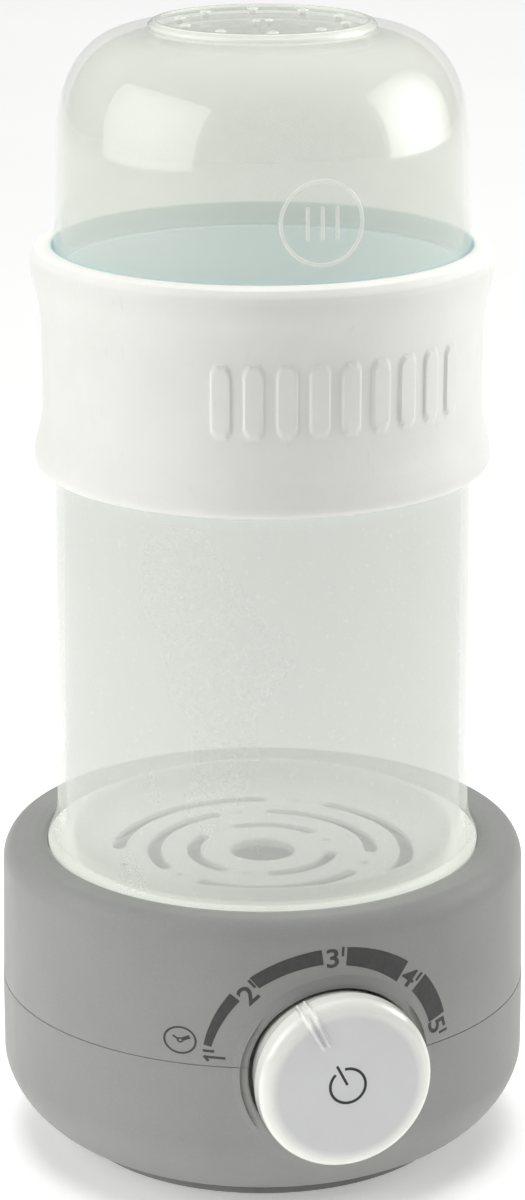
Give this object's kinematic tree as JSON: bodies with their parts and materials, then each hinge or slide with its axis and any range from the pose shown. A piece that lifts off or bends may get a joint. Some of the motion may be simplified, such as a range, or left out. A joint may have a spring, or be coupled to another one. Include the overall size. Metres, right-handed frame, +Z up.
{
  "type": "bottle warmer",
  "caption": "Steam bottle warmer: round grey base with a push-and-turn timer knob, frosted steam chamber with a white grip ring, slotted grid inside and a dome lid.",
  "frame": {"origin": "on the round body's vertical axis, at the underside of the bottom cover; the rubber feet stand 0.8 mm lower, on z = 0", "axes": "+Z up along the body's axis, -Y towards the knob and the user, +X to the user's right"},
  "size_m": [0.1282, 0.1378, 0.2745],
  "materials": {
    "grey_shell": "satin moulded plastic, warm mid grey",
    "dark_plastic": "matte moulded plastic, dark grey",
    "frosted_plastic": "translucent natural polypropylene, glossy outside",
    "white_silicone": "matte warm white silicone",
    "white_plastic": "glossy off-white plastic",
    "steel": "bright steel",
    "brass": "plain brass",
    "black_rubber": "matte black rubber",
    "circuit_board": "green solder mask",
    "cable": "soft insulation"
  },
  "bodies": {
    "base": {"upper_housing": "grey_shell", "lower_housing": "grey_shell", "bottom_cover": "dark_plastic", "cover_screw_1": "steel", "cover_screw_2": "steel", "cover_screw_3": "steel", "cover_screw_4": "steel", "rubber_foot_1": "black_rubber", "rubber_foot_2": "black_rubber", "rubber_foot_3": "black_rubber", "rubber_foot_4": "black_rubber", "heating_plate": "steel", "plate_seal": "white_silicone", "heater_bracket": "steel", "heater_screw_1": "steel", "heater_screw_2": "steel", "heater_screw_3": "steel", "heating_element": "steel", "thermostat": "brass", "thermal_fuse": "white_plastic", "encoder_body": "steel", "encoder_nut": "steel", "dial_board": "circuit_board", "switch_body": "dark_plastic", "control_board": "circuit_board", "board_screw_1": "steel", "board_screw_2": "steel", "board_screw_3": "steel", "board_screw_4": "steel", "power_relay": "dark_plastic", "terminal_block": "dark_plastic", "filter_capacitor": "dark_plastic", "buzzer": "dark_plastic", "live_lead": "cable", "neutral_lead": "cable", "dial_lead": "cable", "cord_gland": "black_rubber"},
    "dial_rotor": {"encoder_rotor": "brass", "knob_spring": "steel"},
    "dial_knob": {"knob": "white_plastic", "control_shaft": "steel"},
    "plunger": {"switch_plunger": "white_plastic"},
    "chamber": {"chamber_tube": "frosted_plastic", "grip_ring": "white_silicone"},
    "grid": {"steam_grid": "white_plastic"},
    "lid": {"dome_lid": "frosted_plastic"}
  },
  "joints": [
    {"name": "knob_turn", "type": "hinge", "parent": "base", "child": "dial_rotor", "pos_m": [0, -0.0567, 0.0386], "axis": [0, 1, 0], "range_deg": [-61, 92]},
    {"name": "knob_push", "type": "slide", "parent": "dial_rotor", "child": "dial_knob", "axis": [0, 1, 0], "range_m": [0, 0.0015], "stiffness_N_per_m": 1200, "deforming": ["knob_spring"]},
    {"name": "plunger_slide", "type": "slide", "parent": "base", "child": "plunger", "axis": [0, 1, 0], "range_m": [0, 0.0015]},
    {"name": "chamber_lift", "type": "slide", "parent": "base", "child": "chamber", "axis": [0, 0, 1], "range_m": [0, 0.06]},
    {"name": "grid_lift", "type": "slide", "parent": "chamber", "child": "grid", "axis": [0, 0, 1], "range_m": [0, 0.14]},
    {"name": "lid_lift", "type": "slide", "parent": "chamber", "child": "lid", "axis": [0, 0, 1], "range_m": [0, 0.12]}
  ],
  "couplings": [
    {"joint": "plunger_slide", "follows": "knob_push", "ratio": 1}
  ]
}
